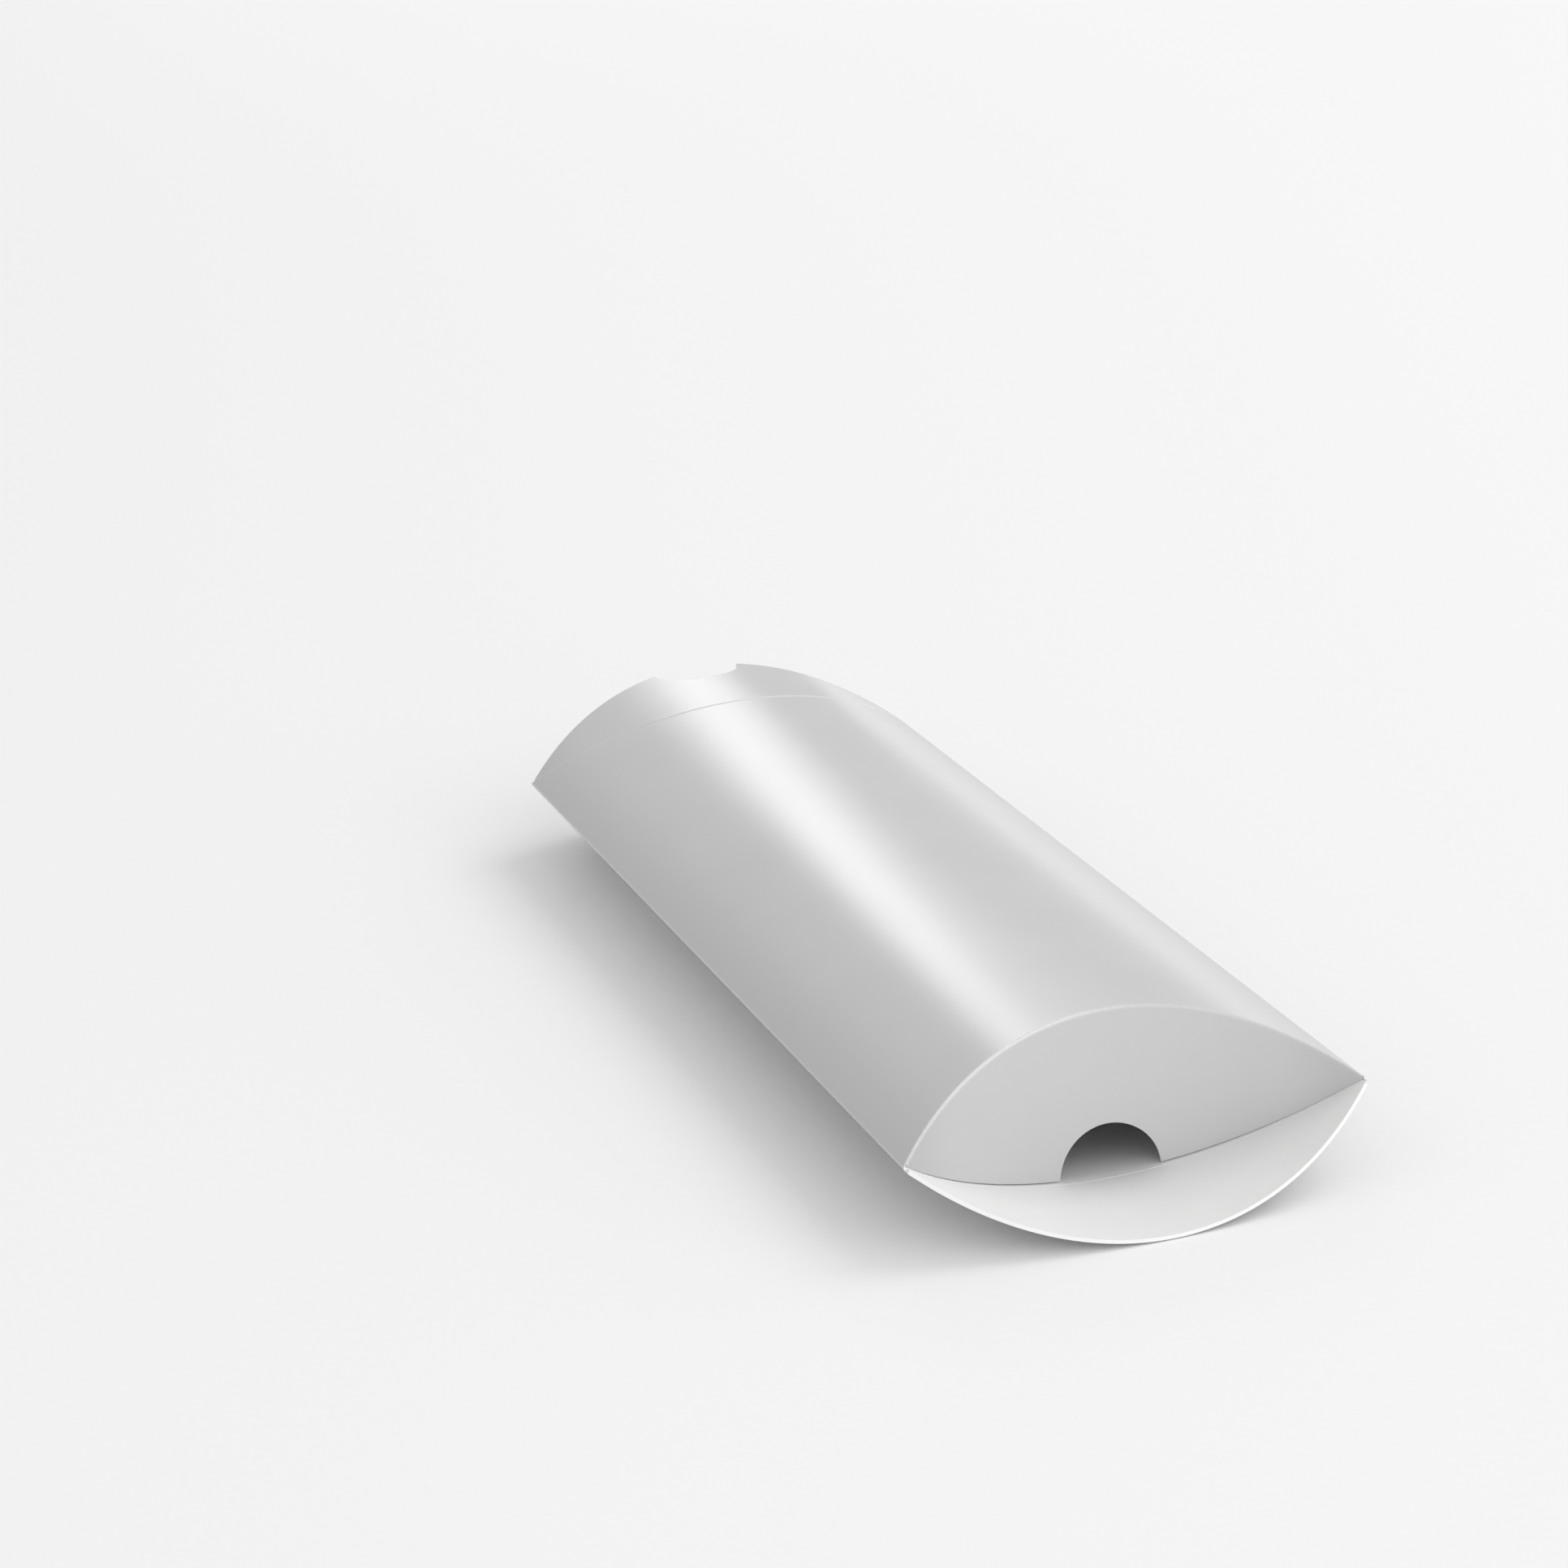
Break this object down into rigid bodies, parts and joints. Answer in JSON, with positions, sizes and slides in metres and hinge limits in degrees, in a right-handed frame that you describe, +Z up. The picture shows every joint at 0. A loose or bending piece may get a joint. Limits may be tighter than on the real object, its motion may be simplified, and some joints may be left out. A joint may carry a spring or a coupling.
{
  "type": "pillow box",
  "caption": "Pillow box of thin folding board: a lens-section sleeve with a glued side seam, and curved end flaps, notched and plain, that fold in over each other to close the ends.",
  "frame": {"origin": "middle of the box's outer size at the height of the lowest line of the belly", "axes": "+Z up through the back panel, +Y along the box towards the unfolded end, +X across it towards the glued seam"},
  "size_m": [0.0754, 0.2406, 0.0282],
  "materials": {
    "board": "satin white coated folding board",
    "glue": "dried white glue film"
  },
  "bodies": {
    "sleeve": {"top_panel": "board", "bottom_panel": "board", "glue_tab": "board", "glue_line": "glue"},
    "near_notched": {"near_notched_flap": "board"},
    "near_plain": {"near_plain_flap": "board"},
    "far_notched": {"far_notched_flap": "board"},
    "far_plain": {"far_plain_flap": "board"}
  },
  "joints": [
    {"name": "near_notched_fold", "type": "hinge", "parent": "sleeve", "child": "near_notched", "pos_m": [0, -0.09415, 0.0282], "axis": [-1, 0, 0], "range_deg": [0, 90]},
    {"name": "near_plain_fold", "type": "hinge", "parent": "sleeve", "child": "near_plain", "pos_m": [0, -0.09495, 0], "axis": [1, 0, 0], "range_deg": [-90, 0], "deforming": ["near_plain_flap"]},
    {"name": "far_notched_fold", "type": "hinge", "parent": "sleeve", "child": "far_notched", "pos_m": [0, 0.09415, 0.0282], "axis": [1, 0, 0], "range_deg": [-90, 0], "deforming": ["far_notched_flap"]},
    {"name": "far_plain_fold", "type": "hinge", "parent": "sleeve", "child": "far_plain", "pos_m": [0, 0.09495, 0], "axis": [-1, 0, 0], "range_deg": [-90, 0], "deforming": ["far_plain_flap"]}
  ]
}
